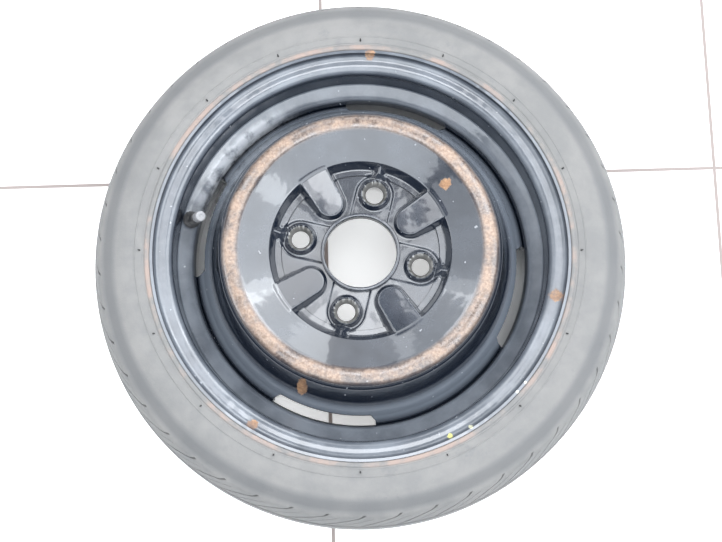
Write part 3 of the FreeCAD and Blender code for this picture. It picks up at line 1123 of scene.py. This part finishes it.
@dataclass
class WheelDisc:
    """The pressed disc with tongues, gussets, lug bosses, collar and vents."""

    sizes: WheelSizes
    columns: int = 480
    edge_radius: float = 84.0
    edge_height: float = 17.95
    recess_wall: float = 5.0
    inner_slope: float = 24.0
    facet_level: float = 5.0
    step_level: float = 7.5
    floor: float = 3.5
    channel_half: float = 17.0
    channel_slope: float = 1.6
    boss_top: float = 9.5
    boss_radius: float = 15.0
    boss_slope: float = 2.6
    collar_radius: float = 36.95
    collar_top: float = 10.0
    soft: float = 1.6
    tongue_slope: float = 10.0
    tongue_foot: float = 10.7
    tongue_gap: float = 4.6
    gusset_gap: float = 17.5
    hollow_gap: float = 8.1
    tongues: Tongue = Tongue(13.4, 20.0, 0.13)
    gussets: Tongue = Tongue(2.4, 45.0, 0.6)
    hollows: Tongue = Tongue(9.0, 24.0, 0.04)
    seat_steps: tuple[tuple[float, float], ...] = ((8.25, -23.5), (8.25, -7.0), (12.3, 0.0), (13.7, 2.5))
    seat_sides: int = 64
    vent_depth: float = 8.5
    vent_half: float = 18.5
    vent_corner: float = 5.0
    vent_steps: int = 24

    def outer_path(self) -> list[Corner]:
        """Corners of the street side from the flange's end to the recess edge."""
        well, end = self.sizes.well_radius, self.sizes.flange_end
        return [
            (well - 0.1, end, 0.0),
            (well - 0.1, end + 14.0, 6.0),
            (well - 7.4, end + 22.0, 6.0),
            (well - 18.0, end + 39.0, 24.0),
            (126.8, self.sizes.crown_top + 5.1, 14.0),
            (self.edge_radius + 2.5, self.edge_height + 1.1, 1.0),
        ]

    def soft_max(self, first: np.ndarray, second: np.ndarray) -> np.ndarray:
        """Larger of two heights, with a small fillet where they meet."""
        share = np.clip(0.5 + 0.5 * (first - second) / self.soft, 0.0, 1.0)
        return second + (first - second) * share + self.soft * share * (1 - share)

    def soft_min(self, first: np.ndarray, second: np.ndarray) -> np.ndarray:
        """Smaller of two heights, with a small round where they meet."""
        return -self.soft_max(-first, -second)

    def tongue(self, x: np.ndarray, y: np.ndarray, tip: float, form: Tongue) -> np.ndarray:
        """Height of a drafted tongue.

        Args:
            x: Distance along the tongue from the wheel axis.
            y: Distance across it.
            tip: Radius of its tip.
            form: Its width and slopes.

        Returns:
            Height of its top and sides.
        """
        nose = tip + form.half
        along = np.clip(x - nose, 0.0, None)
        away = np.hypot(x - nose - along, y)
        drop = form.half + along * form.flare - away
        sides = self.tongue_foot + drop / math.tan(math.radians(form.draft))
        fall = (self.edge_radius - np.hypot(x, y)) * math.tan(math.radians(self.tongue_slope))
        return self.soft_min(self.edge_height - fall, sides)

    def pocket(self, radius: np.ndarray) -> np.ndarray:
        """Height of the recess between the tongues, with its ledge and wall."""
        edge, wall, outside = self.edge_radius, self.edge_radius - self.recess_wall, 6.0
        steps = [self.collar_radius - 4.0, wall - 6.1, wall - 5.5, wall, edge, edge + outside]
        rise = self.edge_height + outside * math.tan(math.radians(self.inner_slope))
        facet, step = self.facet_level, self.step_level
        return np.interp(radius, steps, [facet, facet, step, step, self.edge_height, rise])

    def between_lugs(self, turn: np.ndarray) -> np.ndarray:
        """Angle from the nearest middle between two lugs, in radians."""
        quarter = FULL_TURN / self.sizes.lug_count
        return np.mod(turn - math.radians(self.sizes.lug_angle), quarter) - quarter / 2

    def street(self, radius: np.ndarray, turn: np.ndarray) -> np.ndarray:
        """Height of the street side inside the recess edge.

        Args:
            radius: Radius of each point.
            turn: Angle of each point, in radians.

        Returns:
            The heights.
        """
        gap = self.between_lugs(turn)
        lug = self.between_lugs(turn + math.pi / self.sizes.lug_count)
        x, y = radius * np.cos(lug), radius * np.sin(lug)
        lug_radius, pocket = self.sizes.lug_radius, self.pocket(radius)
        away = np.hypot(np.clip(x - lug_radius, 0.0, None), y)
        channel = self.floor + np.clip((away - self.channel_half) * self.channel_slope, 0.0, None)
        height = np.minimum(pocket, channel)
        height = np.where(radius > self.edge_radius - self.recess_wall, pocket, height)
        boss = self.floor + (self.boss_radius - np.hypot(x - lug_radius, y)) * self.boss_slope
        height = self.soft_max(height, np.clip(boss, 0.0, self.boss_top))
        height = self.soft_max(height, self.tongue(x, y, lug_radius + self.gusset_gap, self.gussets))
        x, y = radius * np.cos(gap), radius * np.sin(gap)
        return self.soft_max(height, self.tongue(x, y, self.collar_radius + self.tongue_gap, self.tongues))

    def hub_side(self, radius: np.ndarray, turn: np.ndarray) -> np.ndarray:
        """Height of the hub side inside the recess edge, with the tongues' hollows."""
        gap = self.between_lugs(turn)
        x, y = radius * np.cos(gap), radius * np.sin(gap)
        hollow = self.tongue(x, y, self.collar_radius + self.hollow_gap, self.hollows)
        return np.maximum(0.0, hollow - self.sizes.sheet * 1.1)

    def grid(self) -> tuple[np.ndarray, Faces]:
        """Vertices and faces of the disc before its holes are cut."""
        outer = smooth_path(self.outer_path(), run=2.2, turn=9.0)
        inside = np.linspace(self.edge_radius + 2.0, self.collar_radius, 72)[:, None]
        collar = smooth_path([
            (self.collar_radius, self.facet_level - 0.8, 0.0),
            (self.collar_radius, self.collar_top, 1.6),
            (self.sizes.bore_radius, self.collar_top, 1.2),
            (self.sizes.bore_radius, 0.0, 0.0),
        ], run=3.0, turn=22.0)[1:]
        under = np.linspace(self.collar_radius, self.edge_radius - 5.2, 20)[:, None]
        wall = np.array([[self.edge_radius - 3.9, 2.0], [self.edge_radius - 2.6, 7.0]])
        back = offset_path(outer, self.sizes.sheet)
        back = back[back[:, 0] > self.edge_radius - 1.0][::-2]
        turn = full_turn(self.columns)[None, :]
        rows = [
            (outer[:, :1], outer[:, 1:]),
            (inside, self.street(inside, turn)),
            (collar[:, :1], collar[:, 1:]),
            (under, self.hub_side(under, turn)),
            (wall[:, :1], np.maximum(self.hub_side(wall[:, :1], turn), wall[:, 1:])),
            (back[:, :1], back[:, 1:]),
        ]
        radius = np.concatenate([row[0] for row in rows])
        height = np.concatenate([np.broadcast_to(row[1], (len(row[1]), self.columns)) for row in rows])
        return revolve(radius, height, turn), grid_faces(len(radius), self.columns, True, True)

    def lug_places(self) -> list[Place]:
        """Middle of each lug seat."""
        height, radius = self.boss_top - 2.5, self.sizes.lug_radius
        turns = [math.radians(self.sizes.lug_turn(index)) for index in range(self.sizes.lug_count)]
        return [(radius * math.cos(turn), radius * math.sin(turn), height) for turn in turns]

    def lug_cutter(self) -> Object:
        """Closed cutter for the four lug holes and their cone seats."""
        points: list[Place] = []
        faces: Faces = []
        for x, y, _ in self.lug_places():
            faces += shifted(tube_faces(len(self.seat_steps), self.seat_sides), len(points))
            for radius, height in self.seat_steps:
                points += circle((x, y, self.boss_top + height), radius, self.seat_sides)
        return make_object("lug_cutter", np.array(points), faces)

    def vent_cutter(self) -> Object:
        """Closed cutter for the gaps between the disc's edge and the rim."""
        inner, outer = self.sizes.well_radius - self.vent_depth, self.sizes.well_radius + 3.0
        low, high, half, ease = self.sizes.flange_end - 4.0, 0.0, self.vent_half, 2.0
        last = 4 * self.vent_steps
        hull = flipped(grid_faces(self.vent_steps + 1, 4, False, True))
        hull += [(0, 1, 2, 3), (last + 3, last + 2, last + 1, last)]
        points: list[Place] = []
        faces: Faces = []
        for index in range(self.sizes.lug_count):
            faces += shifted(hull, len(points))
            for step in range(self.vent_steps + 1):
                turn = -half + 2 * half * step / self.vent_steps
                angle = math.radians(self.sizes.lug_turn(index) + turn)
                corner = max(0.0, (abs(turn) - half + ease) / ease)
                near = inner + self.vent_corner * (1 - math.sqrt(max(0.0, 1 - corner * corner)))
                for radius, height in ((near, low), (outer, low), (outer, high), (near, high)):
                    points.append((radius * math.cos(angle), radius * math.sin(angle), height))
        return make_object("vent_cutter", np.array(points), faces)

    def build(self, paint: Material) -> None:
        """Makes the disc.

        Args:
            paint: Finish of the disc.
        """
        points, faces = self.grid()
        disc = make_object("disc_look", points, flipped(faces), CUT_CREASE)
        carve(disc, self.lug_cutter())
        carve(disc, self.vent_cutter())
        paint_mesh(disc.data, paint)
        dress(disc, "wheel", Slot.PAINT, "wheel_disc")
        log.info("disc: %d faces", len(disc.data.polygons))


@dataclass
class Valve:
    """The valve's place, its knurled dust cap and its spring."""

    cap_radius: float = 5.0
    cap_length: float = 11.0
    bore: float = 4.2
    ridge: float = 0.18
    knurls: int = 28
    hole: float = 5.75
    hole_sides: int = 48

    @staticmethod
    def joint(name: str) -> dict:
        """One of the part's joints."""
        return next(joint for joint in frame["joints"] if joint["name"] == name)

    @property
    def axis(self) -> Vector:
        """Direction in which the cap comes off."""
        return Vector(self.joint("cap_off")["axis"]).normalized()

    @property
    def placing(self) -> Matrix:
        """Turns the valve's own frame, with the cap's middle at its origin, to the wheel."""
        low, high = (Vector(corner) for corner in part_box("valve_cap"))
        turn = self.axis.to_track_quat("Z", "Y").to_matrix().to_4x4()
        return Matrix.Translation((low + high) / 2) @ turn

    def hole_cutter(self) -> Object:
        """Closed cutter for the valve hole in the rim."""
        points: list[Place] = []
        for height in (-50.0, -8.0):
            points += circle((0.0, 0.0, height), self.hole, self.hole_sides)
        cutter = make_object("valve_hole", np.array(points), tube_faces(2, self.hole_sides))
        cutter.data.transform(self.placing)
        return cutter

    def build(self, ring: RingArray, plastic: Material) -> None:
        """Makes the cap.

        Args:
            ring: Group that repeats round the axis.
            plastic: Finish of the cap.
        """
        half, skin, axis = self.cap_length / 2, self.cap_radius - self.ridge, 0.01
        path = smooth_path([
            (axis, half - 2.0, 0.0),
            (self.bore, half - 2.0, 0.2),
            (self.bore, -half, 0.2),
            (skin, -half, 0.3),
            (skin, half, 0.9),
            (1.6, half, 0.3),
            (1.2, half - 0.5, 0.2),
            (axis, half - 0.5, 0.0),
        ], run=3.0, turn=30.0)
        phase = np.array([0.0, 0.25, 0.5, 0.75, 1.0])
        bump = np.array([0.0, 0.7, 1.0, 0.7, 0.0]) * self.ridge
        grip = (np.abs(path[:, 1]) < half - 1.4) & (path[:, 0] > self.cap_radius - 0.5)
        radius = path[:, :1] + grip[:, None] * bump
        points = revolve(radius, path[:, 1:], phase[None, :] * FULL_TURN / self.knurls)
        cap = make_object("cap_look", points, flipped(grid_faces(len(path), len(phase), False, False)))
        ring.apply(cap, self.knurls, plastic, merge=4e-6)
        cap.data.transform(self.placing)
        dress(cap, "cap", Slot.CAP, "valve_cap")
        log.info("valve cap: %d knurls", self.knurls)

    def spring(self, steel: Material) -> None:
        """Makes the spring from a copy of its CAD node.

        Args:
            steel: Finish of the wire.
        """
        node = frame["nodes"]["valve_spring"]
        mesh = node.data.copy()
        mesh.transform(node.matrix_world)
        paint_mesh(mesh, steel)
        spring = bpy.data.objects.new("spring_look", mesh)
        bpy.context.scene.collection.objects.link(spring)
        along = [self.axis.dot(vertex.co) for vertex in mesh.vertices]
        dress(spring, "wheel", Slot.STEEL, "valve_spring")
        tuple(self.axis)
        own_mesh(spring)


@dataclass(frozen=True)
class Panel:
    """A soft light that looks at the wheel.

    Args:
        name: Name of the light.
        place: Middle of the panel, in metres.
        size: Its two sides, in metres.
        power: Its power, in watts.
        tint: Its colour.
    """

    name: str
    place: Place
    size: tuple[float, float]
    power: float
    tint: tuple[float, float, float] = (0.92, 0.96, 1.0)

    def build(self) -> None:
        """Makes the light."""
        data = bpy.data.lights.new(self.name, "AREA")
        data.shape = "RECTANGLE"
        data.size, data.size_y = self.size
        data.energy = self.power
        data.color = self.tint
        light = bpy.data.objects.new(self.name, data)
        light.location = self.place
        light.rotation_mode = "QUATERNION"
        light.rotation_quaternion = (-Vector(self.place)).to_track_quat("-Z", "Y")
        bpy.context.scene.collection.objects.link(light)


PALE = (0.95, 0.97, 1.0)
PANELS = (
    Panel("sky_front", (0.3, -1.8, 2.4), (5.0, 2.6), 185.0, (0.90, 0.95, 1.0)),
    Panel("sky_right", (2.5, 0.3, 2.1), (3.4, 2.2), 124.0),
    Panel("sky_back", (0.3, 3.2, 1.6), (3.6, 1.6), 42.0, PALE),
    Panel("roof_left", (-0.72, 0.85, 3.0), (0.9, 3.6), 52.0, PALE),
    Panel("roof_right", (0.72, 0.85, 3.0), (0.9, 3.6), 52.0, PALE),
    Panel("sky_left", (-2.5, 0.3, 2.1), (3.4, 2.2), 54.0),
    Panel("back_right", (1.9, 2.9, 2.6), (2.6, 1.9), 76.0),
    Panel("back_left", (-1.9, 2.9, 2.6), (2.6, 1.9), 36.0),
    Panel("left_low", (-3.0, -0.3, 0.9), (2.0, 0.9), 26.0, PALE),
)


@dataclass
class Studio:
    """Floor, light and camera as in the photograph."""

    sizes: WheelSizes
    focal_px: float = 1600.0
    image: tuple[int, int] = (722, 542)
    tilt: float = 12.07
    camera_place: Place = (0.5, -326.8, 1451.8)
    sensor: float = 36.0
    joint_angle: float = -1.65
    joint_x: float = -33.2
    joint_y: float = 99.5
    tile: float = 391.0
    floor_reach: float = 3000.0
    floor_glow: float = 0.6
    floor_gap: float = 0.5
    shade_from: tuple[float, float] = (85.0, 95.0)
    shade_to: float = 225.0
    shade_low: float = -110.0
    sky: Colour = (0.86, 0.93, 1.0, 1.0)
    sky_strength: float = 0.24

    def tiles(self, graph: Graph, place: Socket) -> Socket:
        """Colour of the tiles and their joints.

        Args:
            graph: Graph of the floor's material.
            place: Place in the row frame.

        Returns:
            The colour.
        """
        values = {"Vector": place, "Angle": math.radians(self.joint_angle)}
        across = graph.split(graph.add("ShaderNodeVectorRotate", values, rotation_type="Z_AXIS").outputs[0])
        near: object = self.tile * MM
        for side, line in (("X", self.joint_x), ("Y", self.joint_y), ("X", self.joint_x + self.tile)):
            gap = graph.math("ABSOLUTE", graph.math("SUBTRACT", across[side], line * MM), 0.0)
            near = graph.math("MINIMUM", near, gap)
        joint = graph.rest(graph.ramp(near, 1.2 * MM, 2.6 * MM))
        tile = graph.mix(graph.noise(place, 3.0), *TILE_TONES)
        return graph.mix(graph.times(joint, 0.9), tile, GROUT_TONE)

    def floor(self) -> None:
        """Pale tiled floor under the tyre, white to the camera but for the shade in the wheel's vents."""
        reach, height = self.floor_reach, self.sizes.mid - self.sizes.tyre_half - self.floor_gap
        corners = [(x * reach, y * reach, height) for x, y in ((-1, -1), (1, -1), (1, 1), (-1, 1))]
        plane = make_object("floor", np.array(corners), [(0, 1, 2, 3)])
        made = bpy.data.materials.new("floor_tiles")
        made.use_nodes = True
        graph = Graph(made.node_tree)
        place = graph.add("ShaderNodeTexCoord").outputs["Object"]
        colour = self.tiles(graph, place)
        away = graph.distance(place, (0.0, 0.0, height * MM))
        start, full = self.shade_from
        inside = graph.math("LESS_THAN", away, self.shade_to * MM)
        above = graph.math("GREATER_THAN", graph.split(place)["Y"], self.shade_low * MM)
        shade = graph.times(graph.times(graph.ramp(away, start * MM, full * MM), inside), above)
        seen = graph.times(graph.add("ShaderNodeLightPath").outputs["Is Camera Ray"], graph.rest(shade))
        values = {"Base Color": colour, "Roughness": 0.5, "Emission Color": colour}
        values["Emission Strength"] = graph.times(seen, self.floor_glow)
        graph.feed(made.node_tree.nodes["Principled BSDF"], values)
        plane.data.materials.append(made)

    def light(self) -> None:
        """Bright sky with large soft panels."""
        world = bpy.data.worlds.new("sky")
        bpy.context.scene.world = world
        world.use_nodes = True
        backdrop = world.node_tree.nodes["Background"]
        backdrop.inputs["Color"].default_value = self.sky
        backdrop.inputs["Strength"].default_value = self.sky_strength
        for panel in PANELS:
            panel.build()

    def camera(self) -> None:
        """Camera of the photograph."""
        data = bpy.data.cameras.new("photo_camera")
        data.sensor_width = self.sensor
        data.lens = self.sensor * self.focal_px / self.image[0]
        data.clip_end = 50.0
        camera = bpy.data.objects.new("photo_camera", data)
        camera.location = Vector(self.camera_place) * MM
        camera.rotation_euler = (math.radians(self.tilt), 0.0, 0.0)
        scene = bpy.context.scene
        scene.collection.objects.link(camera)
        scene.camera = camera
        scene.render.resolution_x, scene.render.resolution_y = self.image
        scene.render.resolution_percentage = 100
        scene.view_settings.view_transform = "Standard"

    def build(self) -> None:
        """Makes the whole studio."""
        self.floor()
        self.light()
        self.camera()
        log.info("studio: floor, %d panels and camera", len(PANELS))


@dataclass
class SpareWheel:
    """The whole wheel and its finishes."""

    sizes: WheelSizes
    effects: Effects
    rust_radius: float = 119.5
    disc_marks: tuple[Spot, ...] = (
        Spot((78.3, 60.8), 5.5),
        Spot((-53.4, -124.7), 5.5),
    )
    rim_marks: tuple[Spot, ...] = (
        Spot((179.9, -40.9), 6.5),
        Spot((-97.2, -159.6), 5.0),
        Spot((9.0, 191.4), 5.0),
        Spot((80.9, -170.4), 2.6, (0.44, 0.43, 0.15, 1.0)),
        Spot((99.8, -162.5), 2.2, (0.42, 0.42, 0.30, 1.0)),
        Spot((142.0, -131.0), 1.5, WHITE_MARK),
        Spot((149.5, -122.5), 1.5, WHITE_MARK),
    )

    def disc_paint(self, disc: WheelDisc) -> Material:
        """Finish of the disc.

        Args:
            disc: Disc whose seats are bare.

        Returns:
            The material.
        """
        return EnamelFinish(
            "disc_enamel", BLACK, 0.22,
            marks=self.disc_marks,
            rust_radius=self.rust_radius,
            bare_places=tuple(disc.lug_places()),
            skirt_radius=self.sizes.well_radius - 9.0,
        ).material(self.effects)

    def rim_paint(self) -> Material:
        """Finish of the rim, which is dustier than the disc."""
        return EnamelFinish(
            "rim_enamel", BLACK, 0.22,
            marks=self.rim_marks,
            painted_highlight_radius=self.sizes.ledge_top - 14.0,
            haze=0.56,
            haze_from=0.3,
            evenness=0.5,
            haze_tone=(0.185, 0.205, 0.235, 1.0),
        ).material(self.effects)

    def plain(
        self, name: str, colour: Colour, roughness: float, metallic: float = 0.0, dust: float = 0.25
    ) -> Material:
        """Finish of a small part."""
        return PlainFinish(name, colour, roughness, metallic, dust).material(self.effects)

    def small_parts(self, valve: Valve) -> None:
        """Finishes of the CAD nodes that are shown as they are, and the spring.

        Args:
            valve: Valve that holds the spring.
        """
        rubber = self.plain("valve_rubber_look", (0.018, 0.018, 0.020, 1.0), 0.55)
        brass = self.plain("valve_brass_look", (0.62, 0.44, 0.20, 1.0), 0.32, 1.0, 0.1)
        weld = EnamelFinish("weld_enamel", (0.014, 0.017, 0.022, 1.0), 0.35).material(self.effects)
        looks = {"valve_body": rubber, "valve_seal": rubber, "weld_beads": weld}
        looks |= {"valve_stem": brass, "valve_core": brass, "valve_pin": brass}
        for node, look in looks.items():
            paint_mesh(frame["nodes"][node].data, look)
        valve.spring(self.plain("spring_steel_look", (0.55, 0.55, 0.56, 1.0), 0.3, 1.0, 0.05))

    def build(self) -> None:
        """Makes every piece."""
        ring = RingArray()
        disc = WheelDisc(self.sizes)
        valve = Valve()
        rubber = RubberFinish("tyre_rubber_look", (0.126, 0.125, 0.123, 1.0), 0.62).material(self.effects)
        hair = self.plain("vent_hair_look", (0.010, 0.010, 0.011, 1.0), 0.6, dust=0.1)
        Tyre(self.sizes).build(ring, rubber, hair)
        Rim(self.sizes).build(self.rim_paint(), valve)
        disc.build(self.disc_paint(disc))
        valve.build(ring, self.plain("cap_plastic_look", (0.22, 0.22, 0.23, 1.0), 0.45))
        self.small_parts(valve)


def main() -> None:
    """Builds the wheel and the studio."""
    logging.basicConfig(level=logging.INFO, format="%(name)s: %(message)s")
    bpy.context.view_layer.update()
    sizes = WheelSizes.from_frame()
    SpareWheel(sizes, Effects()).build()
    Studio(sizes).build()


if __name__ == "__main__":
    main()
